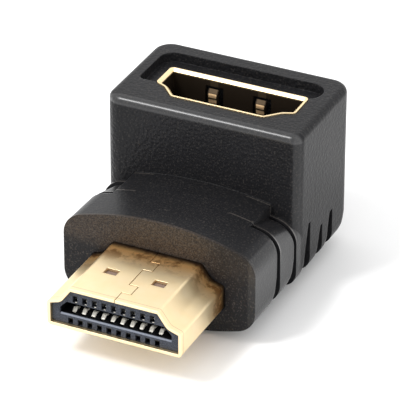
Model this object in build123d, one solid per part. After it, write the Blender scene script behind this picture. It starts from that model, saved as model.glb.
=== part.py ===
import os
from math import cos, pi, sin
from build123d import *

# Right angle adapter: a flat nineteen-way plug at the front, the matching socket on top of an
# upright block, and a ribbed moulded housing that carries both.
# X runs across the contacts, Y from the plug's mouth to the back of the block, Z up.
# The origin is the middle of the footprint, level with the lowest point. All sizes are in mm.

# Two places nearer than this count as one
same_place = 1e-6

# Contacts, alike at both ends
pitch = 1.0
long_row_count = 10
short_row_count = 9
contact_width = 0.4
contact_thick = 0.2
channel_gap = 0.05

# Plug shell: a folded sheet tube with a D outline, wide side down
plug_width = 13.9
plug_height = 4.45
plug_side = 2.6
plug_shoulder_width = 11.4
plug_shoulder_height = 3.0
plug_top_width = 9.3
plug_corner = 0.35
shoulder_radius = 0.8
plug_wall = 0.3
plug_axis_height = 5.65
plug_reach = 9.3
plug_seat = 3.2

# Seam and latch holes in the plug's top
seam_width = 0.07
seam_offset = 0.1
seam_tab_starts = (1.55, 6.0)
seam_tab_length = 1.55
seam_tab_reach = 0.95
latch_hole_width = 1.35
latch_hole_length = 0.95
latch_hole_offset = 2.5
latch_hole_from_mouth = 4.4

# Plug insulator, with the cavity that takes a tongue and a channel for each contact
insulator_gap = 0.03
plug_face_recess = 0.35
plug_insulator_length = 9.2
plug_contact_offset = -0.19
slot_height = 0.59
slot_floor = 0.36
slot_bar = 0.4
cavity_width = 11.6
cavity_floor = 1.35
cavity_height = 1.35
cavity_chamfer = 0.75
cavity_length = 5.5
lip_chamfer = 0.12
upper_bar = 0.17
upper_slot_height = 0.62

# Contact noses in the plug's cavity
nose_from_face = 1.25
nose_rise = 0.3
nose_ramp = 1.7
nose_bend = 0.3
tip_run = 0.45
tail_step = 0.7
tail_lead = 0.5

# Socket shell: the outline made to fit over a plug, wide side to the back
socket_width = 14.75
socket_depth = 5.35
socket_side = 3.4
socket_shoulder_width = 12.5
socket_shoulder_depth = 3.9
socket_narrow_width = 9.8
socket_corner = 0.45
socket_wall = 0.4
socket_offset = 0.3
socket_front_gap = 2.35
socket_proud = 0.1
rim_lead = 0.25

# Springs in the socket shell's two broad walls
spring_width = 1.05
spring_offset = 2.55
spring_window_width = 1.95
spring_window_top = 0.95
spring_window_height = 5.0
spring_tip_drop = 0.3
spring_knee_drop = 0.75
spring_bow = 0.5
spring_tip_bow = 0.15
spring_root = 0.5

# Socket insulator: a base with the tongue that carries the contacts
tongue_width = 11.2
tongue_thick = 1.0
tongue_recess = 2.2
tongue_shift = 0.2
contact_margin = 0.5
base_height = 3.3
foot_length = 0.9
foot_tunnel = 0.42
foot_tunnel_margin = 0.6

# Circuit board that joins plug and socket
board_thick = 1.0
board_side_margin = 0.925
board_tongue_width = 11.2
board_overlap = 1.4
board_back_margin = 3.1
leg_width = 1.3
leg_gap = 0.1
leg_tail = 0.4

# Moulded housing: collar round the plug and neck
neck_wall = 1.79
neck_offset = 0.08
collar_height = 11.2
collar_rise = 1.9
neck_rear_rise = 1.35
neck_corner = 2.4
collar_length = 5.55
neck_length = 10.0
neck_drop = 0.78
neck_lift = 0.12
band_side_margin = 2.84
flank_drop = 0.2
flank_rear_drop = 1.1
lip_reach = 0.35
shell_fit = 0.05

# Upright block of the housing
wall_left_of_socket = 3.525
wall_right_of_socket = 2.425
block_depth = 12.8
block_height = 17.55
block_rise = 1.6
block_corner = 1.7
front_left_radius = 1.55
front_right_radius = 1.1
rear_radius = 1.9
block_top_radius = 0.7
block_heel_radius = 1.6

# Grip grooves on both flanks, each with a rounded front side and a steep back wall
groove_depth = 0.6
groove_round = 0.7
round_flat_count = 3
groove_floor = 0.15
block_groove_depth = 0.85
block_groove_places = (2.9, 5.85, 8.3)
block_groove_tops = (6.8, 4.95, 4.85)
groove_overrun = 1.25

# Recess in the top face, behind the socket and at its left
recess_left_wall = 1.5
recess_right_wall = 1.65
recess_back_wall = 2.08
recess_depth = 1.0
recess_end_flat = 0.07
recess_overlap = 0.25
recess_left_reach = 3.3
recess_turn_radius = 0.6

# Inner moulding that grips the board and the foot of the socket
inner_board_margin = 0.2
inner_height = 5.7
inner_rise = 1.6
inner_corner = 1.6
inner_back_wall = 2.2
inner_side_wall = 0.9
inner_front_wall = 0.8
inner_top_drop = 4.0

# Sizes and places worked out from them
board_width = socket_width + 2 * board_side_margin
inner_width = board_width + 2 * inner_board_margin
neck_width = board_width + 2 * neck_wall
block_left = socket_offset - socket_width / 2 - wall_left_of_socket
block_right = socket_offset + socket_width / 2 + wall_right_of_socket
block_width = block_right - block_left
block_x = (block_right + block_left) / 2
band_width = neck_width - 2 * band_side_margin
neck_right = neck_offset + neck_width / 2
middle_x = (min(block_left, neck_offset - neck_width / 2) + max(block_right, neck_right)) / 2
overall_length = plug_reach + neck_length + block_depth
mouth_y = -overall_length / 2
collar_y = mouth_y + plug_reach
flank_y = collar_y + collar_length
block_y = collar_y + neck_length
back_y = block_y + block_depth
axis_z = plug_axis_height
plug_z = axis_z - plug_height / 2
shell_end_y = collar_y + plug_seat
face_y = mouth_y + plug_face_recess
insulator_end_y = face_y + plug_insulator_length
cavity_end_y = face_y + cavity_length
slot_width = contact_width + 2 * channel_gap
cavity_roof = cavity_floor + cavity_height
upper_slot_top = cavity_roof + upper_bar + upper_slot_height
board_bottom = axis_z - board_thick / 2
board_top = axis_z + board_thick / 2
board_y = shell_end_y - board_overlap
board_back_y = back_y - board_back_margin
socket_y = block_y + socket_front_gap
socket_back_y = socket_y + socket_depth
rim_z = block_height + socket_proud
base_top = board_top + base_height
tongue_y = (socket_y + socket_back_y) / 2 + tongue_shift
tongue_tip = rim_z - tongue_recess
inner_top = rim_z - inner_top_drop
lip_y = block_y - lip_reach
inside_y = block_y + max(front_left_radius, front_right_radius)


def d_outline(width, height, side, shoulder_width, shoulder_height, narrow_width, corner):
    """D shaped face with its wide side on the X axis, symmetric about the Y axis."""
    right = [
        (width / 2, 0),
        (width / 2, side),
        (shoulder_width / 2, shoulder_height),
        (narrow_width / 2, height),
    ]
    left = [(-x, y) for x, y in reversed(right)]
    face = make_face(Polyline(*right, *left, close=True))
    shoulders = face.vertices().filter_by(lambda v: abs(v.Y - shoulder_height) < same_place)
    face = fillet(shoulders, shoulder_radius)
    rest = face.vertices().filter_by(
        lambda v: min(abs(v.Y), abs(v.Y - side), abs(v.Y - height)) < same_place
    )
    return fillet(rest, corner)


def plug_outline(grow=0.0):
    """The plug's outline, grown or, if negative, shrunk all round."""
    face = d_outline(
        plug_width, plug_height, plug_side, plug_shoulder_width, plug_shoulder_height,
        plug_top_width, plug_corner,
    )
    return offset(face, amount=grow, kind=Kind.INTERSECTION) if grow else face


def socket_outline(grow=0.0):
    """The socket's outline, grown or, if negative, shrunk all round."""
    face = d_outline(
        socket_width, socket_depth, socket_side, socket_shoulder_width, socket_shoulder_depth,
        socket_narrow_width, socket_corner,
    )
    return offset(face, amount=grow, kind=Kind.INTERSECTION) if grow else face


def upright(y):
    """Plane across the object at y, with its own Y axis up."""
    return Plane(origin=(0, y, 0), x_dir=(1, 0, 0), z_dir=(0, -1, 0))


def plug_run(face, start, end):
    """Solid with a plug outline between two places along Y."""
    placed = upright(start) * Pos(0, plug_z) * face
    return extrude(placed, amount=end - start, dir=(0, 1, 0))


def socket_run(face, top, bottom):
    """Solid with a socket outline between two heights, its wide side to the back."""
    place = Plane(origin=(socket_offset, socket_back_y, top), x_dir=(-1, 0, 0), z_dir=(0, 0, 1))
    return extrude(place * face, amount=top - bottom, dir=(0, 0, -1))


def span(x, y, z):
    """Box between a pair of limits along each axis."""
    size = [high - low for low, high in (x, y, z)]
    centre = [(high + low) / 2 for low, high in (x, y, z)]
    return Pos(*centre) * Box(*size)


def about(centre, width):
    """Pair of limits centred on a place."""
    return (centre - width / 2, centre + width / 2)


def row(count):
    """Places across X of a centred row of contacts."""
    return [(i - (count - 1) / 2) * pitch for i in range(count)]


def strip(x, width, thick, bends, *route):
    """Flat strip, centred on x, along a route of (y, z) points with a bend radius at each corner."""
    place = Plane(origin=(x - width / 2, 0, 0), x_dir=(0, 1, 0), z_dir=(1, 0, 0))
    section = trace(FilletPolyline(*route, radius=bends), thick)
    return extrude(place * section, amount=width, dir=(1, 0, 0))


def save(shape, name):
    """Write one piece, which is always a single solid, with the middle of the footprint at 0."""
    solids = shape.solids()
    assert len(solids) == 1, f"{name} has {len(solids)} solids"
    placed = Pos(-middle_x, 0, 0) * solids[0]
    placed.label = name
    export_step(placed, f"parts/{name}.step")


def plug_shell():
    """Folded tube with the interlocking seam and the two latch holes in its top."""
    shell = plug_run(plug_outline() - plug_outline(-plug_wall), mouth_y, shell_end_y)
    roof = about(plug_z + plug_height - plug_wall / 2, 2 * plug_wall)
    route = [(seam_offset, 0)]
    for start in seam_tab_starts:
        end = start + seam_tab_length
        reach = seam_offset + seam_tab_reach
        route += [(seam_offset, start), (reach, start), (reach, end), (seam_offset, end)]
    route.append((seam_offset, plug_reach + plug_seat))
    for (x0, y0), (x1, y1) in zip(route, route[1:]):
        across = (min(x0, x1) - seam_width / 2, max(x0, x1) + seam_width / 2)
        along = (mouth_y + y0 - seam_width / 2, mouth_y + y1 + seam_width / 2)
        shell -= span(across, along, roof)
    for side in (-1, 1):
        across = about(seam_offset + side * latch_hole_offset, latch_hole_width)
        shell -= span(across, about(mouth_y + latch_hole_from_mouth, latch_hole_length), roof)
    return shell


def plug_insulator():
    """Block in the plug shell, with the cavity for a tongue and the contacts' channels."""
    block = plug_run(
        plug_outline(-plug_wall - insulator_gap), face_y, insulator_end_y
    )
    cavity = Pos(0, cavity_floor + cavity_height / 2) * Rectangle(cavity_width, cavity_height)
    cavity = chamfer(cavity.vertices().group_by(Axis.Y)[-1], cavity_chamfer)
    block -= plug_run(cavity, face_y, cavity_end_y)
    edge = Plane(origin=(0, face_y, plug_z + cavity_floor), x_dir=(0, 1, 0), z_dir=(1, 0, 0))
    lip = make_face(Polyline((0, 0), (lip_chamfer, 0), (0, -lip_chamfer), close=True))
    block -= extrude(edge * lip, amount=cavity_width / 2, both=True)
    lower = plug_z + slot_floor
    floor = plug_z + cavity_floor
    roof = plug_z + cavity_roof
    upper = plug_z + upper_slot_top
    thick = contact_thick + channel_gap
    behind_bar = (face_y + slot_bar, cavity_end_y)
    for x in row(long_row_count):
        across = about(plug_contact_offset + x, slot_width)
        block -= span(across, (face_y, face_y + slot_bar), (lower, lower + slot_height))
        block -= span(across, behind_bar, (lower, floor))
        block -= span(across, (cavity_end_y, insulator_end_y), (lower, lower + thick))
    for x in row(short_row_count):
        across = about(plug_contact_offset + x, slot_width)
        block -= span(across, (face_y, face_y + slot_bar), (upper - upper_slot_height, upper))
        block -= span(across, behind_bar, (roof, upper))
        block -= span(across, (cavity_end_y, insulator_end_y), (upper - thick, upper))
    return block


def plug_contact(x, lie, nose, seat):
    """Spring contact that lies at one height, dips its nose into the cavity and ends on the board."""
    nose_y = face_y + nose_from_face
    return strip(
        plug_contact_offset + x, contact_width, contact_thick, (nose_bend, 0, 0, 0),
        (nose_y - tip_run, (lie + 2 * nose) / 3),
        (nose_y, nose),
        (nose_y + nose_ramp, lie),
        (insulator_end_y + tail_lead, lie),
        (insulator_end_y + tail_lead + tail_step, seat),
        (shell_end_y - channel_gap, seat),
    )


def lower_plug_contact(x):
    """Contact of the long row, whose nose stands up from the cavity's floor."""
    half = contact_thick / 2
    nose = plug_z + cavity_floor + nose_rise - half
    return plug_contact(x, plug_z + slot_floor + half, nose, board_bottom - half)


def upper_plug_contact(x):
    """Contact of the short row, whose nose hangs from the cavity's roof."""
    half = contact_thick / 2
    nose = plug_z + cavity_roof - nose_rise + half
    return plug_contact(x, plug_z + upper_slot_top - half, nose, board_top + half)


def socket_shell():
    """Tube for the socket with sprung tabs in both broad walls and a leg at each side."""
    ring = socket_outline() - socket_outline(-socket_wall)
    shell = socket_run(ring, rim_z, board_top)
    mouth = shell.faces().sort_by(Axis.Z)[-1]
    shell = chamfer(mouth.inner_wires()[0].edges(), rim_lead)
    window_top = rim_z - spring_window_top
    window = (window_top - spring_window_height, window_top)
    for wall_y, inward in ((socket_back_y - socket_wall / 2, -1), (socket_y + socket_wall / 2, 1)):
        for side in (-1, 1):
            x = socket_offset + side * spring_offset
            shell -= span(about(x, spring_window_width), about(wall_y, 2 * socket_wall), window)
            shell += strip(
                x, spring_width, socket_wall, (socket_wall, socket_wall),
                (wall_y, window[0] - spring_root),
                (wall_y, window[0] + spring_root),
                (wall_y + inward * spring_bow, window_top - spring_knee_drop),
                (wall_y + inward * spring_tip_bow, window_top - spring_tip_drop),
            )
    for x in leg_places():
        height = (board_bottom - leg_tail, board_top + socket_wall)
        shell += span(about(x, socket_wall), about(leg_y(), leg_width), height)
    return shell


def leg_places():
    """Middle of the socket shell's two side walls."""
    reach = (socket_width - socket_wall) / 2
    return [socket_offset - reach, socket_offset + reach]


def leg_y():
    """Middle of the straight part of the side walls."""
    return socket_back_y - socket_side / 2


def tongue_faces():
    """The tongue's two faces, each with its outward direction and its row of contacts."""
    half = tongue_thick / 2
    return ((tongue_y + half, 1, long_row_count), (tongue_y - half, -1, short_row_count))


def socket_insulator():
    """Base and tongue, grooved for the contacts, with a tunnel underneath for their feet."""
    base = socket_run(socket_outline(-socket_wall - insulator_gap), base_top, board_top)
    across = about(socket_offset, tongue_width)
    tongue = span(across, about(tongue_y, tongue_thick), (base_top - socket_wall, tongue_tip))
    body = base + tongue
    reach = long_row_count * pitch + 2 * foot_tunnel_margin
    ends = (socket_y, socket_back_y)
    body -= span(about(socket_offset, reach), ends, (board_top, board_top + foot_tunnel))
    for face, outward, count in tongue_faces():
        inner = face - outward * contact_thick
        limits = (min(face, inner), max(face, inner))
        for x in row(count):
            across = about(socket_offset + x, slot_width)
            body -= span(across, limits, (board_top, tongue_tip - contact_margin))
    return body


def socket_contact(x, face, outward):
    """Flat contact let into a face of the tongue, with its foot on the board."""
    middle = face - outward * contact_thick / 2
    foot = board_top + contact_thick / 2
    return strip(
        socket_offset + x, contact_width, contact_thick, (0,),
        (middle, tongue_tip - contact_margin),
        (middle, foot),
        (middle + outward * foot_length, foot),
    )


def circuit_board():
    """Board with a narrow end between the plug's contacts and slots for the shell's legs."""
    height = (board_bottom, board_top)
    board = span(about(0, board_width), (shell_end_y, board_back_y), height)
    board += span(about(0, board_tongue_width), (board_y, shell_end_y), height)
    for x in leg_places():
        slot = (about(x, socket_wall + 2 * leg_gap), about(leg_y(), leg_width + 2 * leg_gap))
        board -= span(*slot, height)
    return board


def barrel(width, top, bottom, top_rise, bottom_rise, top_corner, bottom_corner):
    """Face with an arched top and bottom, upright sides and rounded corners."""
    half = width / 2
    face = make_face([
        ThreePointArc((-half, top - top_rise), (0, top), (half, top - top_rise)),
        Line((half, top - top_rise), (half, bottom + bottom_rise)),
        ThreePointArc((half, bottom + bottom_rise), (0, bottom), (-half, bottom + bottom_rise)),
        Line((-half, bottom + bottom_rise), (-half, top - top_rise)),
    ])
    face = fillet(face.vertices().group_by(Axis.Y)[-1], top_corner)
    return fillet(face.vertices().group_by(Axis.Y)[0], bottom_corner)


def neck_section(y, inset=0.0, drop=0.0):
    """Outline of the neck at y, moved in by inset and lowered on top by drop."""
    share = (y - collar_y) / neck_length
    face = barrel(
        neck_width - 2 * inset,
        collar_height - neck_drop * share - drop - inset,
        neck_lift + inset,
        collar_rise + (neck_rear_rise - collar_rise) * share,
        collar_rise,
        neck_corner,
        neck_corner,
    )
    return upright(y) * Pos(neck_offset, 0) * face


def grip_rib(start, end, first_drop, last_drop):
    """Stretch of the neck with a sharp front edge and a rear edge rounded in a few flats."""
    places = [(start, 0.0)]
    for i in range(round_flat_count + 1):
        turn = pi / 2 * i / round_flat_count
        places.append((end - groove_round * (1 - sin(turn)), groove_round * (1 - cos(turn))))
    sections = []
    for y, inset in places:
        share = (y - start) / (end - start)
        sections.append(neck_section(y, inset, first_drop + (last_drop - first_drop) * share))
    return loft(sections, ruled=True)


def neck():
    """Collar, one grip rib, the lip at the block, their core, and the smooth band over them."""
    collar = grip_rib(collar_y, flank_y, 0, 0)
    rib = grip_rib(flank_y + groove_floor, lip_y - groove_floor, flank_drop, flank_rear_drop)
    lip = barrel(
        block_width, collar_height - neck_drop - flank_rear_drop, 0, neck_rear_rise, block_rise,
        neck_corner, block_corner,
    )
    lip = extrude(upright(lip_y) * Pos(block_x, 0) * lip, amount=inside_y - lip_y, dir=(0, 1, 0))
    core = loft([
        neck_section(collar_y + groove_depth, groove_depth),
        neck_section(inside_y, groove_depth, flank_rear_drop),
    ], ruled=True)
    band = loft([neck_section(collar_y + groove_depth), neck_section(inside_y)], ruled=True)
    band &= span(about(0, band_width), (collar_y, inside_y), (-collar_height, 2 * collar_height))
    return collar + [rib, lip, core, band]


def block_groove(y, run_out):
    """Cutter for one grip groove in the block's flanks, shallower up the side until it runs out."""
    half = block_width / 2
    edge = band_width / 2
    radius = (half ** 2 + block_rise ** 2) / (2 * block_rise)
    start = Vector(edge, 0, radius - (radius ** 2 - edge ** 2) ** 0.5)
    corner = Vector(half, 0, block_rise)
    end = corner + Vector(block_groove_depth, 0, run_out - block_rise) * groove_overrun
    path = upright(y) * FilletPolyline(
        (start.X, start.Z), (corner.X, corner.Z), (end.X, end.Z), radius=block_corner
    )
    depth = block_groove_depth
    bend = depth * (1 - 0.5 ** 0.5)
    profile = make_face([
        Line((0, depth), (0, -depth)),
        Line((0, -depth), (groove_floor, -depth)),
        ThreePointArc((groove_floor, -depth), (groove_floor + bend, -bend),
                      (groove_floor + depth, 0)),
        Line((groove_floor + depth, 0), (groove_floor + depth, depth)),
        Line((groove_floor + depth, depth), (0, depth)),
    ])
    place = Plane(
        origin=start + Vector(0, y, 0), x_dir=(0, -1, 0), z_dir=corner - start
    )
    cutter = sweep(place * profile, path=path)
    return Pos(block_x) * (cutter + mirror(cutter, about=Plane.YZ))


def block():
    """Upright block: what its plan, its front outline and its side outline have in common."""
    middle_y = (block_y + back_y) / 2
    plan = Rectangle(block_width, block_depth)
    plan = fillet(plan.vertices().group_by(Axis.Y)[-1], rear_radius)
    plan = fillet(plan.vertices().group_by(Axis.Y)[0].sort_by(Axis.X)[0], front_left_radius)
    plan = fillet(plan.vertices().group_by(Axis.Y)[0].sort_by(Axis.X)[-1], front_right_radius)
    body = extrude(Pos(block_x, middle_y) * plan, block_height)
    body = fillet(body.faces().sort_by(Axis.Z)[-1].edges(), block_top_radius)
    tall = barrel(
        block_width, 2 * block_height, 0, block_rise, block_rise, block_corner, block_corner
    )
    body &= extrude(
        upright(block_y) * Pos(block_x, 0) * tall, amount=block_depth, dir=(0, 1, 0)
    )
    side = Rectangle(block_depth, 2 * block_height)
    heel = side.vertices().group_by(Axis.Y)[0].sort_by(Axis.X)[-1]
    side = Plane(origin=(0, middle_y, block_height), x_dir=(0, 1, 0), z_dir=(1, 0, 0)) * fillet(
        heel, block_heel_radius
    )
    body &= extrude(side, amount=block_width, both=True)
    return body


def recess():
    """Cutter for the shallow recess behind the socket, which turns forward at its left end."""
    left = block_left + recess_left_wall
    right = block_right - recess_right_wall
    back = back_y - recess_back_wall
    front = socket_back_y - recess_overlap
    radius = (back - front - recess_end_flat) / 2
    behind = Pos((right + left) / 2, (front + back) / 2) * RectangleRounded(
        right - left, back - front, radius
    )
    turn_front = socket_back_y - recess_left_reach
    turn = Pos(left / 2, (turn_front + back) / 2) * Rectangle(-left, back - turn_front)
    turn = fillet(turn.vertices().group_by(Axis.Y)[-1], radius)
    turn = fillet(turn.vertices().group_by(Axis.Y)[0], recess_turn_radius)
    return Pos(0, 0, block_height - recess_depth) * extrude(behind + turn, 2 * recess_depth)


def inner_envelope():
    """Whole outside of the inner moulding: a bar under the neck and a column at the socket."""
    low = axis_z - inner_height / 2
    section = barrel(
        inner_width, low + inner_height, low, inner_rise, inner_rise, inner_corner, inner_corner
    )
    end = back_y - inner_back_wall
    bar = extrude(upright(shell_end_y) * section, amount=end - shell_end_y, dir=(0, 1, 0))
    column = span(
        about(socket_offset, socket_width + 2 * inner_side_wall),
        (socket_y - inner_front_wall, end),
        (axis_z, inner_top),
    )
    return bar + column


def inner_mould():
    """Inner moulding, cast round the board and the lower half of the socket."""
    body = inner_envelope()
    body -= socket_run(socket_outline(shell_fit), inner_top, board_top)
    body -= span(about(0, board_width), (shell_end_y, board_back_y), (board_bottom, board_top))
    for x in leg_places():
        place = (about(x, socket_wall + 2 * leg_gap), about(leg_y(), leg_width + 2 * leg_gap))
        body -= span(*place, (board_bottom - leg_tail - leg_gap, board_bottom))
    return body


def housing():
    """Outer moulding with its grooves, its recess and the room for everything inside."""
    body = neck() + block()
    for place, run_out in zip(block_groove_places, block_groove_tops):
        body -= block_groove(block_y + place, run_out)
    body -= recess()
    body -= plug_run(plug_outline(shell_fit), collar_y, shell_end_y)
    body -= socket_run(socket_outline(shell_fit), rim_z, inner_top)
    body -= inner_envelope()
    return body


os.makedirs("parts", exist_ok=True)
save(housing(), "housing")
save(inner_mould(), "inner_mould")
save(circuit_board(), "circuit_board")
save(plug_shell(), "plug_shell")
save(plug_insulator(), "plug_insulator")
save(socket_shell(), "socket_shell")
save(socket_insulator(), "socket_insulator")
for number, place in enumerate(row(long_row_count), 1):
    save(lower_plug_contact(place), f"plug_lower_contact_{number:02d}")
for number, place in enumerate(row(short_row_count), 1):
    save(upper_plug_contact(place), f"plug_upper_contact_{number:02d}")
for side_name, (face, outward, count) in zip(("rear", "front"), tongue_faces()):
    for number, place in enumerate(row(count), 1):
        save(socket_contact(place, face, outward), f"socket_{side_name}_contact_{number:02d}")
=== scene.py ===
import math

import bmesh
import bpy
from mathutils import Matrix, Vector
from mathutils.bvhtree import BVHTree
from mathutils.geometry import barycentric_transform


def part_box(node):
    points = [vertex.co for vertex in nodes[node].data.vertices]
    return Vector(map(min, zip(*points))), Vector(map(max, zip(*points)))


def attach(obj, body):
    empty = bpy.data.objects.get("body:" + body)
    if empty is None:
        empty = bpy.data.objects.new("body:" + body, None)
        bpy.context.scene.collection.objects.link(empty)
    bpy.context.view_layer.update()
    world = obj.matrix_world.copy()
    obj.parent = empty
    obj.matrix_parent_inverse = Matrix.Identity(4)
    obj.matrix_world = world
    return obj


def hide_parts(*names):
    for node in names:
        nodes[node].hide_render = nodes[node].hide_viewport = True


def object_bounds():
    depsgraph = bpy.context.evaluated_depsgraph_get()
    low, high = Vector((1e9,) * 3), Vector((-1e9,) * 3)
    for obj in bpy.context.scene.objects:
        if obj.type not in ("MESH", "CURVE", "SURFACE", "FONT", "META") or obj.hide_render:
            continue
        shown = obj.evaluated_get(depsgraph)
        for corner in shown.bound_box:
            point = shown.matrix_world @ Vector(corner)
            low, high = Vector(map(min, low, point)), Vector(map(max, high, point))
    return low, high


mm = 0.001  # everything in the scene is in metres
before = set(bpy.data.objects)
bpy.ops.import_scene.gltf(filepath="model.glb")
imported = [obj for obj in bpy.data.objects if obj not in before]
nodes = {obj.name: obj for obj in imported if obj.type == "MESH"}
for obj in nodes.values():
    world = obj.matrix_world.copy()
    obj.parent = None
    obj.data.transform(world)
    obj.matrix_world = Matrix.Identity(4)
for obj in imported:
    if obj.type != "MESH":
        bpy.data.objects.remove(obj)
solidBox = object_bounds()
print("frame loaded:", len(nodes), "pieces")


class Wire:
    # one output of a node; arithmetic on it adds Math nodes
    def __init__(self, graph, socket):
        self.graph = graph
        self.socket = socket

    def maths(self, operation, *values):
        return self.graph.add("ShaderNodeMath", {"operation": operation}, dict(enumerate(values)))

    def __add__(self, other):
        return self.maths("ADD", self, other)

    def __radd__(self, other):
        return self.maths("ADD", other, self)

    def __sub__(self, other):
        return self.maths("SUBTRACT", self, other)

    def __rsub__(self, other):
        return self.maths("SUBTRACT", other, self)

    def __mul__(self, other):
        return self.maths("MULTIPLY", self, other)

    def __rmul__(self, other):
        return self.maths("MULTIPLY", other, self)

    def size(self):
        return self.maths("ABSOLUTE", self)

    def near(self, first, pitch):
        # how far it is to the nearest of a row of places
        return self.maths("PINGPONG", self - first, pitch / 2)


class Graph:
    # the node tree of a material or of the world
    def __init__(self, owner):
        owner.use_nodes = True
        self.owner = owner
        self.tree = owner.node_tree
        self.tree.nodes.clear()

    def add(self, kind, settings=None, sockets=None, output=0):
        node = self.tree.nodes.new(kind)
        for key, value in (settings or {}).items():
            setattr(node, key, value)
        for key, value in (sockets or {}).items():
            if isinstance(value, Wire):
                self.tree.links.new(value.socket, node.inputs[key])
            elif isinstance(value, tuple):
                node.inputs[key].default_value = (*value, 1)
            else:
                node.inputs[key].default_value = value
        return Wire(self, node.outputs[output]) if node.outputs else None

    def place(self):
        return self.add("ShaderNodeTexCoord", output=3)  # object coordinates, in metres

    def axes(self, vector):
        split = self.add("ShaderNodeSeparateXYZ", {}, {0: vector}).socket.node
        return [Wire(self, socket) for socket in split.outputs]

    def noise(self, vector, size, detail, roughness=0.5):
        # size is how far apart the grains are, in metres; a look gives it with the detail
        return self.add("ShaderNodeTexNoise", {}, {
            "Vector": vector, "Scale": 1 / size, "Detail": detail, "Roughness": roughness,
        })

    def pebbles(self, vector, size, smoothness=0.6):
        return self.add("ShaderNodeTexVoronoi", {"feature": "SMOOTH_F1"}, {
            "Vector": vector, "Scale": 1 / size, "Smoothness": smoothness,
        })

    def ramp(self, value, start, end, low=0.0, high=1.0):
        # low up to start, high from end on, smooth in between
        return self.add("ShaderNodeMapRange", {"interpolation_type": "SMOOTHSTEP"}, {
            "Value": value, "From Min": start, "From Max": end, "To Min": low, "To Max": high,
        })

    def fade(self, value, start, end):
        return self.ramp(value, start, end, 1.0, 0.0)

    def band(self, value, middle, start, end):
        # 1 as near to the middle as start, 0 further off than end
        return self.fade((value - middle).size(), start, end)

    def mix(self, factor, first, second):
        sockets = {0: factor, 6: first, 7: second}
        return self.add("ShaderNodeMix", {"data_type": "RGBA"}, sockets, 2)

    def bump(self, height, depth, normal=None):
        # depth is the height of a full step, in metres
        sockets = {"Height": height, "Distance": depth}
        if normal:
            sockets["Normal"] = normal
        return self.add("ShaderNodeBump", {}, sockets)

    def softEdges(self, radius):
        return self.add("ShaderNodeBevel", {"samples": 8}, {"Radius": radius})

    def openness(self, reach):
        # low in corners and narrow gaps, high on open faces
        return self.add("ShaderNodeAmbientOcclusion", {"samples": 8}, {"Distance": reach}, 1)

    def shader(self, sockets):
        return self.add("ShaderNodeBsdfPrincipled", {}, sockets)

    def cover(self, shader):
        self.add("ShaderNodeOutputMaterial", {}, {"Surface": shader})

    def surface(self, sockets):
        self.cover(self.shader(sockets))


def finishGraph(name):
    return Graph(bpy.data.materials.new(name))


def dress(graph, *names):
    for name in names:
        mesh = nodes[name].data
        for index in range(len(mesh.materials)):
            mesh.materials[index] = graph.owner


def named(start):
    return [name for name in nodes if name.startswith(start)]


plugLow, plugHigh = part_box("plug_shell")
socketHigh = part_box("socket_shell")[1]
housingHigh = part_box("housing")[1]
plugX, plugZ = (plugLow[0] + plugHigh[0]) / 2, (plugLow[2] + plugHigh[2]) / 2
socketX = (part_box("socket_shell")[0][0] + socketHigh[0]) / 2
mouthY = plugLow[1]

# Black moulding, finely pebbled, rougher on the block than on the neck
housingLook = {
    "dark": (0.006, 0.006, 0.0065),
    "pale": (0.017, 0.017, 0.019),
    "clouds": (5 * mm, 2.0),
    "cloudShare": 0.5,
    "roughness": 0.30,
    "moreRoughness": 0.10,
    "shine": 0.12,
    "edge": 0.14 * mm,
    "grain": (0.11 * mm, 3.0),
    "grainDepth": 0.008 * mm,
    "pebbleSize": 0.34 * mm,
    "pebbleDepth": 0.085 * mm,
    "pebblesOnNeck": 0.4,  # share of their depth before the block
    "pebblesAside": 0.3,  # and on faces that look neither forward nor back
    "aside": (0.3, 0.8),
    # where the collar's face ends, and the block and the flanks start, from the plug's mouth
    # and from the middle
    "collar": (9.5 * mm, 9.7 * mm),
    "block": (19.2 * mm, 19.5 * mm),
    "flank": (4.8 * mm, 5.1 * mm),
    # grey specks, more of them on the collar, and a painted highlight of pale specks along two ribs'
    # edges
    "speck": (0.085, 0.075, 0.066),
    "specks": (0.17 * mm, 1.0),
    "speckEdge": (0.56, 0.70),
    "speckShare": 0.28,
    "moreOnCollar": 0.14,
    "ribHighlight": 0.5,
}
# Painted warm reflection of the gold plug, brown on the collar's face over the plug, from the plug's top
# and middle
goldGlowLook = {
    "brown": (0.12, 0.088, 0.062),
    "share": 0.5,
    "rise": (-1.5 * mm, 0.5 * mm),
    "rightEnd": (3 * mm, 7.5 * mm),
    "beyond": 0.3,
    "grains": (0.35, 0.65),
    "betweenGrains": 0.15,
    "onGrains": 0.85,
}
# Edges that shine from wear: front of the block's top, its right corner, and two ribs, whose edges also
# get a painted highlight in the colour
rubbedLook = {
    "shine": 0.9,
    "roughness": 0.27,
    "fromTop": (-0.9 * mm, -0.675 * mm),
    "front": (19.8 * mm, 20.175 * mm),  # from the plug's mouth
    "right": (1.625 * mm, 1.825 * mm),  # from the socket's right wall
    "rightShare": 0.5,
    "ribs": 2,
    "ribStart": (0, 0.03 * mm),  # behind a scallop's wall
    "ribEnd": (0.16 * mm, 0.22 * mm),
    "ribRise": (5.8 * mm, 7.5 * mm),  # over the floor
}
# The scallops' steep walls, dull black
wallLook = {"reach": (0.05 * mm, 0.08 * mm), "forward": (-0.9, -0.8), "roughness": 0.8, "shine": 0.08}


def rubbedEdges(g, x, z, fromMouth, onFlank):
    look = rubbedLook
    nearFront = g.fade(fromMouth, *look["front"])
    nearTop = g.ramp(z - housingHigh[2], *look["fromTop"]) * nearFront
    nearRight = g.ramp(x - socketHigh[0], *look["right"]) * nearFront
    ribs = 0
    for scallop in gripShape["scallops"][:look["ribs"]]:
        behind = fromMouth - scallop["wall"]
        ribs = ribs + g.ramp(behind, *look["ribStart"]) * g.fade(behind, *look["ribEnd"])
    ribs = ribs * g.ramp(z, *look["ribRise"]) * onFlank
    return nearTop + look["rightShare"] * nearRight + ribs, ribs


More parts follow.
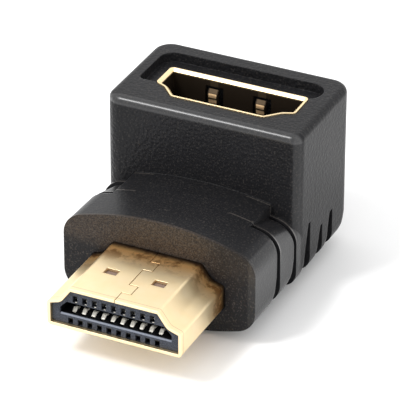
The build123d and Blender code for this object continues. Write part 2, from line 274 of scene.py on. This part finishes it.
def collarGoldGlow(g, x, z, grain):
    look = goldGlowLook
    # painted warm reflection of the gold plug, from over the plug's top
    goldGlow = g.ramp(z - plugHigh[2], *look["rise"])
    goldGlow = goldGlow * g.ramp(grain, *look["grains"], look["betweenGrains"], look["onGrains"])
    return goldGlow * g.ramp(x - plugX, *look["rightEnd"], 1.0, look["beyond"])


def housingFinish():
    look = housingLook
    g = finishGraph("housingPlastic")
    place = g.place()
    x, y, z = g.axes(place)
    fromMouth = y - mouthY
    faceY = g.axes(g.add("ShaderNodeNewGeometry", output=3))[1]  # of the face's own direction
    onCollar = g.fade(fromMouth, *look["collar"])
    onBlock = g.ramp(fromMouth, *look["block"])
    onFlank = g.ramp(x.size(), *look["flank"])
    grain = g.noise(place, *look["grain"])
    clouds = g.noise(place, *look["clouds"])

    onNeck = look["pebblesOnNeck"]
    pebbles = g.pebbles(place, look["pebbleSize"]) * (onNeck + (1 - onNeck) * onBlock)
    pebbles = pebbles * g.ramp(faceY.size(), *look["aside"], look["pebblesAside"])
    coarse = g.bump(pebbles, look["pebbleDepth"], g.softEdges(look["edge"]))
    fine = g.bump(grain, look["grainDepth"], coarse)

    rubbed, ribs = rubbedEdges(g, x, z, fromMouth, onFlank)
    specks = g.ramp(g.noise(place, *look["specks"]), *look["speckEdge"])
    specks = (look["speckShare"] + look["moreOnCollar"] * onCollar) * specks
    goldGlow = onCollar * collarGoldGlow(g, x, z, grain)
    share = look["cloudShare"]
    shade = g.mix(share * clouds + (1 - share) * grain, look["dark"], look["pale"])
    # painted warm reflection of the gold plug on the collar's face
    shade = g.mix(goldGlowLook["share"] * goldGlow, shade, goldGlowLook["brown"])
    shiny = g.shader({
        # pale specks, with a painted highlight along the two ribs' edges
        "Base Color": g.mix(specks + look["ribHighlight"] * ribs, shade, look["speck"]),
        "Roughness": look["roughness"] + look["moreRoughness"] * grain,
        "Coat Weight": rubbedLook["shine"] * rubbed,
        "Coat Roughness": rubbedLook["roughness"],
        "Specular IOR Level": look["shine"],
        "Normal": fine,
    })
    dull = g.shader({
        "Base Color": g.mix(grain, look["dark"], look["pale"]),
        "Roughness": wallLook["roughness"],
        "Specular IOR Level": wallLook["shine"],
        "Normal": fine,
    })
    inWall = 0
    for scallop in gripShape["scallops"]:
        inWall = inWall + g.band(fromMouth, scallop["wall"], *wallLook["reach"])
    inWall = inWall * onFlank * g.fade(faceY, *wallLook["forward"])
    g.cover(g.add("ShaderNodeMixShader", {}, {0: inWall, 1: shiny, 2: dull}))
    return g


# Thin bright gold plating on folded sheet
shellLook = {
    "gold": (1.0, 0.83, 0.56),
    "deepGold": (0.97, 0.75, 0.42),
    "clouds": (1.3 * mm, 3.0),
    "metal": 0.93,
    "roughness": 0.30,
    "moreRoughness": 0.10,
    "smears": (0.8 * mm, 4.0),
    "waves": (2.6 * mm, 1.0),
    "waveDepth": 0.020 * mm,
    "edge": 0.08 * mm,
}
# Painted reflection of the dark moulding on the gold: amber and brown painted shade, in patches, that
# deepens to the plug's root, from its mouth
rootShadeLook = {
    "amber": (0.88, 0.46, 0.13),
    "amberShare": 0.8,
    "brown": (0.24, 0.085, 0.02),
    "brownShare": 0.85,
    # near black painted shade at the plug's foot, where it meets the collar
    "footShade": (0.03, 0.02, 0.015),
    "footShadeShare": 0.95,
    "root": (5.6 * mm, 8.7 * mm),
    "foot": (8.3 * mm, 9.25 * mm),
    "patches": (1.6 * mm, 5.0, 0.6),
    "patchEdge": (0.44, 0.58),
    "lessMetal": 0.08,
    # line that the folded rim leaves round the mouth
    "rim": 0.5 * mm,
    "rimReach": (0.02 * mm, 0.05 * mm),
    "rimShare": 0.4,
}
# The socket's walls, dull below the rim, with painted shade there and painted highlight bands on the
# sprung tabs
socketLook = {
    "deeper": 0.35,
    "metal": 0.85,
    "dark": (0.035, 0.024, 0.015),
    "darkFrom": (-0.42 * mm, -0.17 * mm),  # from the rim
    "moreRoughness": 0.25,
    "tab": (0.85, 0.60, 0.34),
    "tabPlace": 2.55 * mm,  # from the socket's middle
    "tabEdge": (0.40 * mm, 0.44 * mm),
    "tabShade": 0.06,
    "bands": (-1.75 * mm, -2.35 * mm),
    "bandEdge": (0.16 * mm, 0.24 * mm),
}


def paintRootShadeAndRimLine(g, place, y, colour):
    look = rootShadeLook
    fromMouth = y - mouthY
    root = g.ramp(fromMouth, *look["root"])
    patches = g.ramp(g.noise(place, *look["patches"]), *look["patchEdge"])
    # painted reflection of the dark moulding: amber, then brown patches toward the root
    colour = g.mix(look["amberShare"] * root, colour, look["amber"])
    colour = g.mix(look["brownShare"] * root * patches, colour, look["brown"])
    rimLine = g.band(fromMouth, look["rim"], *look["rimReach"])
    colour = g.mix(look["rimShare"] * rimLine, colour, look["brown"])
    # painted shade, near black at the plug's foot
    colour = g.mix(look["footShadeShare"] * g.ramp(fromMouth, *look["foot"]), colour, look["footShade"])
    return colour, root


def darkenSocket(g, x, z, colour):
    look = socketLook
    fromRim = z - socketHigh[2]
    # painted shade inside the socket, below the rim
    below = g.fade(fromRim, *look["darkFrom"])
    lit = 0
    for height in look["bands"]:
        lit = lit + g.band(fromRim, height, *look["bandEdge"])
    onTab = g.band((x - socketX).size(), look["tabPlace"], *look["tabEdge"])
    # painted highlight bands on the tabs, painted shade around them
    inside = g.mix(onTab * (look["tabShade"] + lit), look["dark"], look["tab"])
    colour = g.mix(look["deeper"], colour, shellLook["deepGold"])
    return g.mix(below, colour, inside), below


def shellFinish(name, inSocket):
    look = shellLook
    g = finishGraph(name)
    place = g.place()
    x, y, z = g.axes(place)
    colour = g.mix(g.noise(place, *look["clouds"]), look["gold"], look["deepGold"])
    polish = look["roughness"] + look["moreRoughness"] * g.noise(place, *look["smears"])
    if inSocket:
        colour, below = darkenSocket(g, x, z, colour)
        metal = socketLook["metal"]
        polish = polish + socketLook["moreRoughness"] * below
    else:
        colour, root = paintRootShadeAndRimLine(g, place, y, colour)
        metal = look["metal"] - rootShadeLook["lessMetal"] * root
    waves = g.noise(place, *look["waves"])
    g.surface({
        "Base Color": colour,
        "Metallic": metal,
        "Roughness": polish,
        "Normal": g.bump(waves, look["waveDepth"], g.softEdges(look["edge"])),
    })
    return g


# Dark blue-grey insulators
insulatorLook = {
    "dark": (0.008, 0.010, 0.016),
    "pale": (0.060, 0.068, 0.088),
    "paleGrains": (0.35, 0.65),
    "grain": (0.08 * mm, 4.0),
    "grainDepth": 0.003 * mm,
    "roughness": 0.42,
    "moreRoughness": 0.2,
    "shine": 0.25,
    "edge": 0.04 * mm,
    # painted shade: near black in narrow gaps, and in the plug's cavity and slots
    "deep": (0.002, 0.002, 0.003),
    "deepReach": 0.45 * mm,
    "deepEdge": (0.42, 0.72),
    # painted warm light from the gold, where the insulator shows through the plug's latch holes
    "inHoles": (0.19, 0.135, 0.115),
    "roof": (-0.5 * mm, -0.4 * mm),  # from the plug's top
    # from the plug's mouth: front face, start of the cavity, of the part under the holes
    "face": (0.42 * mm, 0.45 * mm),
    "cavity": (0.52 * mm, 0.62 * mm),
    "holes": (3.2 * mm, 3.3 * mm),
    "plugEnd": 1 * mm,
}
# Painted highlight along the front edge of the cavity's floor, over the plug's underside
lipLook = {
    "pale": (0.30, 0.33, 0.40),
    "height": 1.30 * mm,
    "heightEdge": (0.05 * mm, 0.09 * mm),
    "depth": (0.45 * mm, 0.55 * mm),
    "halfWidth": (5.75 * mm, 5.8 * mm),
    "share": 0.25,
    "moreOnGrains": 0.6,
}
# Painted shade over the slot mouths, over the plug's underside, and painted glints on the contacts' ends
# in the upper ones
slotLook = {
    "rows": (
        {"row": "plug_lower", "low": 0.27 * mm, "high": 1.02 * mm, "half": 0.26 * mm, "end": None},
        {"row": "plug_upper", "low": 2.80 * mm, "high": 3.56 * mm, "half": 0.25 * mm, "end": 2.98 * mm},
    ),
    "pitch": 1.0 * mm,
    "past": (0.40 * mm, 0.41 * mm),  # a row's first and last contact
    "blur": 0.02 * mm,
    "end": (1.0, 0.97, 0.88),
    "endShift": 0.10 * mm,
    "endWidth": (0.08 * mm, 0.12 * mm),
    "endHeight": (0.10 * mm, 0.14 * mm),
}


def slotMouths(g, x, z, onFace, shade):
    look = slotLook
    for slot in look["rows"]:
        places = [sum(corner[0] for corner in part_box(name)) / 2 for name in named(slot["row"])]
        first, last = min(places), max(places)
        half = (last - first) / 2
        inRow = g.band(x, (first + last) / 2, *(half + past for past in look["past"])) * onFace
        middle, reach = (slot["low"] + slot["high"]) / 2, (slot["high"] - slot["low"]) / 2
        across = x.near(first, look["pitch"])
        inMouth = g.fade(across, slot["half"] - look["blur"], slot["half"] + look["blur"])
        inMouth = inMouth * g.band(z, plugLow[2] + middle, reach - look["blur"], reach + look["blur"])
        # painted shade over the slot's mouth
        shade = g.mix(inMouth * inRow, shade, insulatorLook["deep"])
        if slot["end"]:
            # painted glint on the contact's end
            onEnd = g.fade(x.near(first + look["endShift"], look["pitch"]), *look["endWidth"])
            onEnd = onEnd * g.band(z, plugLow[2] + slot["end"], *look["endHeight"])
            shade = g.mix(onEnd * inRow, shade, look["end"])
    return shade


def insulatorFinish():
    look, lip = insulatorLook, lipLook
    g = finishGraph("insulatorPlastic")
    place = g.place()
    x, y, z = g.axes(place)
    fromMouth = y - mouthY
    grain = g.noise(place, *look["grain"])
    inPlug = g.fade(y - plugHigh[1], 0, look["plugEnd"])
    shade = g.mix(g.ramp(grain, *look["paleGrains"]), look["dark"], look["pale"])
    # painted shade in narrow gaps, from how open the surface is
    shade = g.mix(g.ramp(g.openness(look["deepReach"]), *look["deepEdge"]), look["deep"], shade)
    # painted shade inside the plug's cavity
    shade = g.mix(g.ramp(fromMouth, *look["cavity"]) * inPlug, shade, look["deep"])

    # painted highlight along the cavity floor's front edge
    onLip = g.band(z, plugLow[2] + lip["height"], *lip["heightEdge"])
    onLip = onLip * g.fade(fromMouth, *lip["depth"]) * g.band(x, plugX, *lip["halfWidth"])
    shade = g.mix(onLip * (lip["share"] + lip["moreOnGrains"] * grain), shade, lip["pale"])
    shade = slotMouths(g, x, z, g.fade(fromMouth, *look["face"]), shade)
    # painted warm light from the gold under the latch holes
    underHoles = g.ramp(z - plugHigh[2], *look["roof"]) * g.ramp(fromMouth, *look["holes"]) * inPlug
    g.surface({
        "Base Color": g.mix(underHoles, shade, look["inHoles"]),
        "Roughness": look["roughness"] + look["moreRoughness"] * grain,
        "Specular IOR Level": look["shine"],
        "Normal": g.bump(grain, look["grainDepth"], g.softEdges(look["edge"])),
    })
    return g


# Gold flashed contacts, almost white where the light falls on them
contactLook = {
    "gold": (1.0, 0.99, 0.94),
    "worn": (1.0, 0.94, 0.80),
    "streaks": (0.15 * mm, 3.0),
    "streakDepth": 0.001 * mm,
    "metal": 0.25,
    "roughness": 0.24,
    "moreRoughness": 0.12,
    "edge": 0.09 * mm,
}


def contactFinish():
    look = contactLook
    g = finishGraph("contactGold")
    streaks = g.noise(g.place(), *look["streaks"])
    g.surface({
        "Base Color": g.mix(streaks, look["gold"], look["worn"]),
        "Metallic": look["metal"],
        "Roughness": look["roughness"] + look["moreRoughness"] * streaks,
        "Normal": g.bump(streaks, look["streakDepth"], g.softEdges(look["edge"])),
    })
    return g


# Natural plastic inside, and the board's green mask, both out of sight
innerLook = {
    "first": (0.60, 0.60, 0.56),
    "second": (0.45, 0.45, 0.42),
    "clouds": (1.5 * mm, 4.0),
    "depth": 0.02 * mm,
    "roughness": 0.5,
    "moreRoughness": 0.2,
}
boardLook = {
    "first": (0.015, 0.15, 0.06),
    "second": (0.01, 0.09, 0.04),
    "clouds": (0.4 * mm, 2.0),
    "depth": 0.005 * mm,
    "roughness": 0.3,
    "moreRoughness": 0.15,
}


def cloudyFinish(name, look):
    g = finishGraph(name)
    clouds = g.noise(g.place(), *look["clouds"])
    g.surface({
        "Base Color": g.mix(clouds, look["first"], look["second"]),
        "Roughness": look["roughness"] + look["moreRoughness"] * clouds,
        "Normal": g.bump(clouds, look["depth"]),
    })
    return g


# The moulding again, with deeper scallops round its lower flanks and a rounder heel
gripShape = {
    # wall of each scallop from the plug's mouth, then the height it starts at
    "scallops": (
        {"wall": 15.0 * mm, "top": 5.0 * mm, "first": 0.40, "depth": 1.25 * mm, "width": 2.5 * mm},
        {"wall": 18.95 * mm, "top": 4.8 * mm, "first": 0.40, "depth": 1.25 * mm, "width": 2.5 * mm},
        {"wall": 22.2 * mm, "top": 7.0 * mm, "first": 0.15, "depth": 1.3 * mm, "width": 2.3 * mm},
        {"wall": 25.15 * mm, "top": 5.2 * mm, "first": 0.15, "depth": 1.3 * mm, "width": 2.3 * mm},
        {"wall": 27.6 * mm, "top": 5.6 * mm, "first": 0.30, "depth": 1.4 * mm, "width": 2.2 * mm},
    ),
    "heel": {"top": 5.2 * mm, "first": 0.25, "depth": 3.0 * mm, "width": 3.0 * mm},
    "weld": 0.001 * mm,  # nearer corners of the solid's mesh are one
    "readBefore": 1.9 * mm,  # where the outline is read, before a scallop's wall and the back
    "heelReadBefore": 3.2 * mm,
    "wallShift": 0.02 * mm,
    "heelPast": 0.8 * mm,
    "inner": 4.6 * mm,  # how far from the middle they run out again underneath
    "steps": 28,
    "roundSteps": 8,
    "lift": 0.02 * mm,  # over the surface, so that the rounding meets it at a slant
    "beyond": 0.6 * mm,
    # shares of the run over which a scallop deepens and runs out, and its least sizes
    "deepens": 0.45,
    "runsOut": 0.3,
    "least": 0.02,
    "leastWidth": 0.35,
}
# Rays that read the moulding's outline, in degrees down from the flank to underneath
rays = {
    "count": 400,
    "first": 20,
    "turn": 110,
    "height": 6 * mm,
    "start": 40,  # in millimetres from the axis
    "slack": 1e-12,
    "leastStep": 1e-9,
}


class Outline:
    # the moulding's outline across it at one place along it, read with rays from outside
    def __init__(self, tree, y):
        self.tree, self.y = tree, y

    def at(self, angle):
        outward = Vector((math.cos(angle), 0, math.sin(angle)))
        start = Vector((0, self.y, rays["height"])) + outward * rays["start"] * mm
        return self.tree.ray_cast(start, -outward)[0]

    def spots(self, side, top):
        # close together down one flank and in under the bottom
        found = []
        for index in range(rays["count"]):
            angle = math.radians(rays["first"] - rays["turn"] * index / (rays["count"] - 1))
            spot = self.at(angle if side > 0 else math.pi - angle)
            if spot and spot.z <= top and side * spot.x >= gripShape["inner"]:
                found.append(spot)
        return found

    def run(self, side, top):
        # points evenly apart along those, with their outward directions
        steps, found = gripShape["steps"], self.spots(side, top)
        lengths = [0.0]
        for before, after in zip(found, found[1:]):
            lengths.append(lengths[-1] + (after - before).length)
        even = []
        for index in range(steps + 1):
            goal = lengths[-1] * index / steps
            near = max(k for k in range(len(found)) if lengths[k] <= goal + rays["slack"])
            near = min(near, len(found) - 2)
            step = max(lengths[near + 1] - lengths[near], rays["leastStep"])
            share = (goal - lengths[near]) / step
            even.append(found[near].lerp(found[near + 1], share))
        result = []
        for index, spot in enumerate(even):
            along = even[min(index + 1, steps)] - even[max(index - 1, 0)]
            outward = Vector((-along.z, 0, along.x)).normalized() * side
            if outward.x * side < 0 and outward.z > 0:
                outward = -outward
            result.append((spot, outward))
        return result


def addTube(maker, rings):
    # closed tube through rings of as many points each
    rows = [[maker.verts.new(point) for point in ring] for ring in rings]
    count = len(rows[0])
    for first, second in zip(rows, rows[1:]):
        for k in range(count):
            after = (k + 1) % count
            maker.faces.new((first[k], first[after], second[after], second[k]))
    maker.faces.new(rows[0][::-1])
    maker.faces.new(rows[-1])


def scallopRings(run, wall, cut, past=0.0):
    # a steep wall behind, and the rib before it rounded off down to the wall's foot
    shape = gripShape
    lift, beyond, leastWidth = shape["lift"], shape["beyond"], shape["leastWidth"]
    rings = []
    for index, (spot, outward) in enumerate(run):
        share = index / (len(run) - 1)
        rise = min(1.0, cut["first"] + (1 - cut["first"]) * min(1.0, share / shape["deepens"]))
        fall = min(1.0, (1 - share) / shape["runsOut"])
        size = max(shape["least"], rise * fall)
        depth, width = cut["depth"] * size, cut["width"] * (leastWidth + (1 - leastWidth) * size)
        section = [(wall - width, beyond)]
        for k in range(shape["roundSteps"] + 1):
            turn = math.pi / 2 * k / shape["roundSteps"]
            across, out = width * math.sin(turn), depth * math.cos(turn)
            section.append((wall - width + across, lift - depth + out))
        if past:
            section.append((wall + past, lift - depth))
        section.append((wall + past, beyond))
        rings.append([Vector((spot.x, y, spot.z)) + outward * out for y, out in section])
    return rings


# Shading of the cut moulding: what counts as a face of the solid, and cosines of turns
shading = {"away": 0.002 * mm, "sameFace": 0.95, "smooth": 0.8, "inward": 0.01}


def shadeAsBefore(mesh, source):
    # old faces keep the solid's own shading, and the cut ones are smoothed among themselves
    source.calc_loop_triangles()
    corners = [tuple(t.vertices) for t in source.loop_triangles]
    turns = [
        [source.corner_normals[k].vector.copy() for k in t.loops] for t in source.loop_triangles
    ]
    spots = [v.co.copy() for v in source.vertices]
    tree = BVHTree.FromPolygons(spots, corners)
    around = {}
    isOld = []
    for face in mesh.polygons:
        normal, away = tree.find_nearest(face.center)[1::2]
        isOld.append(away < shading["away"] and normal.dot(face.normal) > shading["sameFace"])
        if not isOld[-1]:
            for k in face.vertices:
                around.setdefault(k, []).append((face.normal.copy(), face.area))
    wanted = []
    for face, old in zip(mesh.polygons, isOld):
        for k in face.vertices:
            turned = Vector()
            if old:
                point = mesh.vertices[k].co.lerp(face.center, shading["inward"])
                spot, index = tree.find_nearest(point)[::2]
                corner = [spots[i] for i in corners[index]]
                turned = barycentric_transform(spot, *corner, *turns[index])
                turned = turned if turned.dot(face.normal) > 0 else Vector()
            else:
                for normal, area in around[k]:
                    if normal.dot(face.normal) > shading["smooth"]:
                        turned += normal * area
            wanted.append(turned.normalized() if turned.length > 0 else face.normal.copy())
    mesh.normals_split_custom_set(wanted)


def newPiece(name, maker):
    mesh = bpy.data.meshes.new(name)
    maker.to_mesh(mesh)
    maker.free()
    piece = bpy.data.objects.new(name, mesh)
    bpy.context.scene.collection.objects.link(piece)
    return piece


def scallopCutter(mesh):
    # all that is cut from the moulding, as one piece
    shape, back = gripShape, housingHigh[1]
    tree = BVHTree.FromPolygons([v.co for v in mesh.vertices], [tuple(f.vertices) for f in mesh.polygons])
    maker = bmesh.new()
    for cut in shape["scallops"]:
        wall = mouthY + cut["wall"]
        outline = Outline(tree, wall - shape["readBefore"])
        for side in (1, -1):
            run = outline.run(side, cut["top"])
            addTube(maker, scallopRings(run, wall + shape["wallShift"], cut))
    outline = Outline(tree, back - shape["heelReadBefore"])
    for side in (1, -1):
        run = outline.run(side, shape["heel"]["top"])
        addTube(maker, scallopRings(run, back, shape["heel"], shape["heelPast"]))
    bmesh.ops.recalc_face_normals(maker, faces=maker.faces)
    return newPiece("scallopCutter", maker)


def grippedHousing():
    maker = bmesh.new()
    maker.from_mesh(nodes["housing"].data)
    bmesh.ops.remove_doubles(maker, verts=maker.verts, dist=gripShape["weld"])
    piece = newPiece("grippedHousing", maker)
    cutter = scallopCutter(piece.data)
    cut = piece.modifiers.new("scallops", "BOOLEAN")
    cut.operation, cut.solver, cut.object = "DIFFERENCE", "EXACT", cutter
    ready = piece.evaluated_get(bpy.context.evaluated_depsgraph_get())
    result = bpy.data.meshes.new_from_object(ready)
    piece.modifiers.clear()
    piece.data = result
    bpy.data.objects.remove(cutter)
    shadeAsBefore(piece.data, nodes["housing"].data)
    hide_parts("housing")
    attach(piece, "root")
    return piece


moulding = grippedHousing()
moulding.data.materials.clear()
moulding.data.materials.append(housingFinish().owner)
print("moulding cut:", len(moulding.data.polygons), "faces")
dress(shellFinish("goldPlatedPlug", False), "plug_shell")
dress(shellFinish("goldPlatedSocket", True), "socket_shell")
dress(insulatorFinish(), "plug_insulator", "socket_insulator")
contactRows = ("plug_lower", "plug_upper", "socket_rear", "socket_front")
dress(contactFinish(), *(name for row in contactRows for name in named(row)))
dress(cloudyFinish("innerPlastic", innerLook), "inner_mould")
dress(cloudyFinish("boardMask", boardLook), "circuit_board")
print("finishes on")

# Bright floor and room, so that only the object's shadow is left of the floor
studio = {
    "floorSize": 3.0,
    "floorShade": 0.92,
    "room": 1.25,
    "key": {"place": (-0.14, -0.17, 0.31), "size": 0.09, "power": 0.75},
    "fill": {"place": (0.30, -0.02, 0.16), "size": 0.20, "power": 0.02},
}


def floorFinish():
    g = finishGraph("paleFloor")
    g.cover(g.add("ShaderNodeBsdfDiffuse", {}, {"Color": (studio["floorShade"],) * 3}))
    return g


def softLamp(name, place, size, power):
    lamp = bpy.data.lights.new(name, "AREA")
    lamp.shape = "SQUARE"
    lamp.size = size
    lamp.energy = power
    holder = bpy.data.objects.new(name, lamp)
    bpy.context.scene.collection.objects.link(holder)
    holder.location = place
    holder.rotation_mode = "QUATERNION"
    holder.rotation_quaternion = (-Vector(place)).to_track_quat("-Z", "Y")


bpy.ops.mesh.primitive_plane_add(size=studio["floorSize"], location=(0, 0, solidBox[0].z))
floor = bpy.context.object
floor.name = "floor"
floor.data.materials.append(floorFinish().owner)
world = bpy.data.worlds.new("room")
bpy.context.scene.world = world
room = Graph(world)
glow = room.add("ShaderNodeBackground", {}, {"Color": (1, 1, 1), "Strength": studio["room"]})
room.add("ShaderNodeOutputWorld", {}, {"Surface": glow})
for lampName in ("key", "fill"):
    softLamp(lampName, **studio[lampName])
print("studio lit")

# Camera at the photograph's place, found from the plug's and the socket's real sizes
view = {
    "fromMouth": (0.118712, -0.232080, 0.166240),
    "right": (0.90328177, 0.42904284, 0.0020708),
    "up": (-0.21914305, 0.45721082, 0.86193653),
    "back": (0.3688609, -0.77902536, 0.50701195),
    "lens": 300.0,
    "film": 36.0,
    "reach": (0.01, 10),
}
photoCamera = bpy.data.cameras.new("photoCamera")
photoCamera.lens = view["lens"]
photoCamera.sensor_width = view["film"]
photoCamera.clip_start, photoCamera.clip_end = view["reach"]
cameraHolder = bpy.data.objects.new("photoCamera", photoCamera)
bpy.context.scene.collection.objects.link(cameraHolder)
eye = Vector((plugX, mouthY, plugZ)) + Vector(view["fromMouth"])
turn = Matrix((view["right"], view["up"], view["back"])).transposed().to_4x4()
cameraHolder.matrix_world = Matrix.Translation(eye) @ turn
bpy.context.scene.camera = cameraHolder
bpy.context.scene.view_settings.view_transform = "Standard"
print("camera set")
